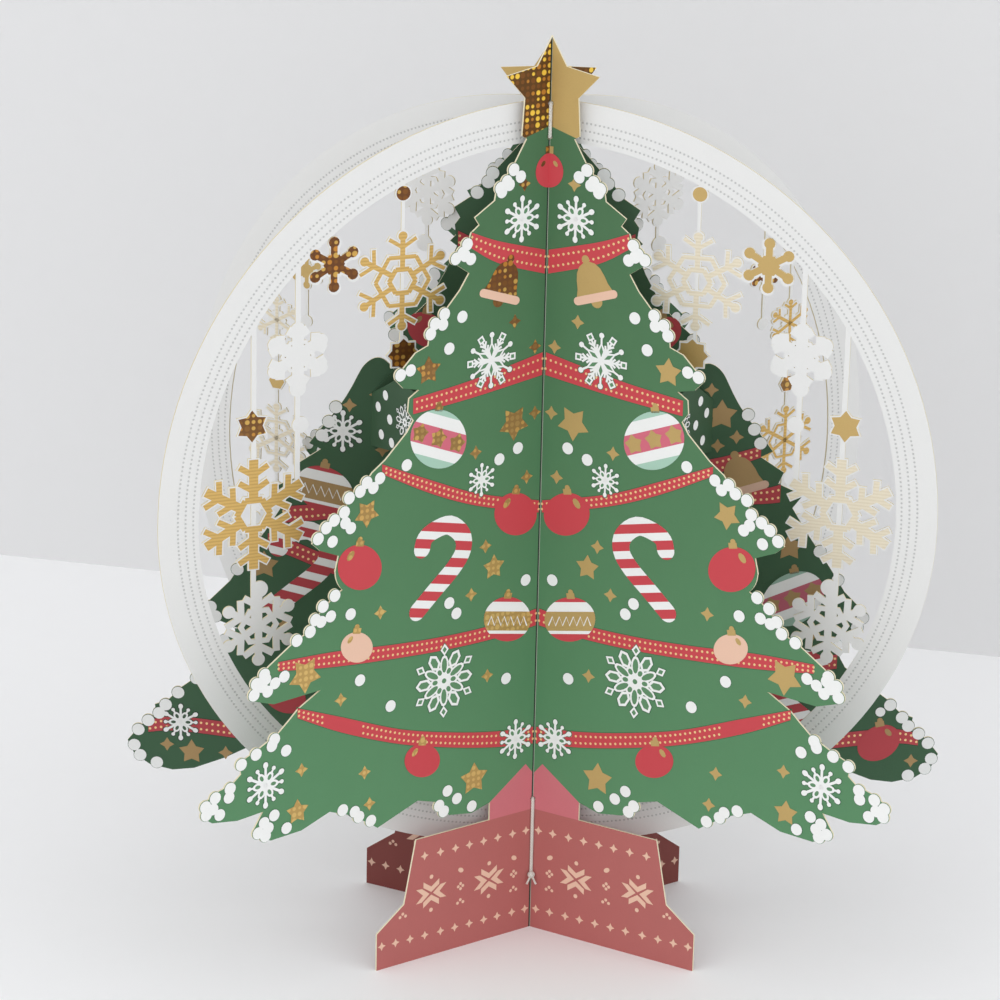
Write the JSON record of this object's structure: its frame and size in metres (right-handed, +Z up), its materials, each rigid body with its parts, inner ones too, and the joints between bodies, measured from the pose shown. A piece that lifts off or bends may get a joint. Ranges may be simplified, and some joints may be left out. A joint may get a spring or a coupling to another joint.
{
  "type": "pop up card",
  "caption": "Standing pop-up card: a fir tree inside a round frame, made of creased die-cut sheets that fan out from one spine and are tied by thread loops.",
  "frame": {"origin": "middle of the floor area that the open card covers, on the table", "axes": "+Z up along the spine, +X to the right seen from the front, +Y to the back"},
  "size_m": [0.1949, 0.1062, 0.2205],
  "materials": {
    "tree_card": "green printed card with gold foil and white, red and peach print",
    "frame_card": "white card with rows of small pricked dots, some of its snowflakes in gold foil",
    "middle_card": "darker green printed card",
    "strut_card": "green printed paper",
    "thread": "cream twisted cotton thread"
  },
  "bodies": {
    "root": {"front_tree_leaf": "tree_card", "front_ring_leaf": "frame_card", "middle_tree_leaf": "middle_card", "back_ring_leaf": "frame_card", "back_tree_leaf": "tree_card", "front_left_strut": "strut_card", "front_right_strut": "strut_card", "back_left_strut": "strut_card", "back_right_strut": "strut_card", "top_binding_thread": "thread", "bottom_binding_thread": "thread"}
  },
  "joints": []
}
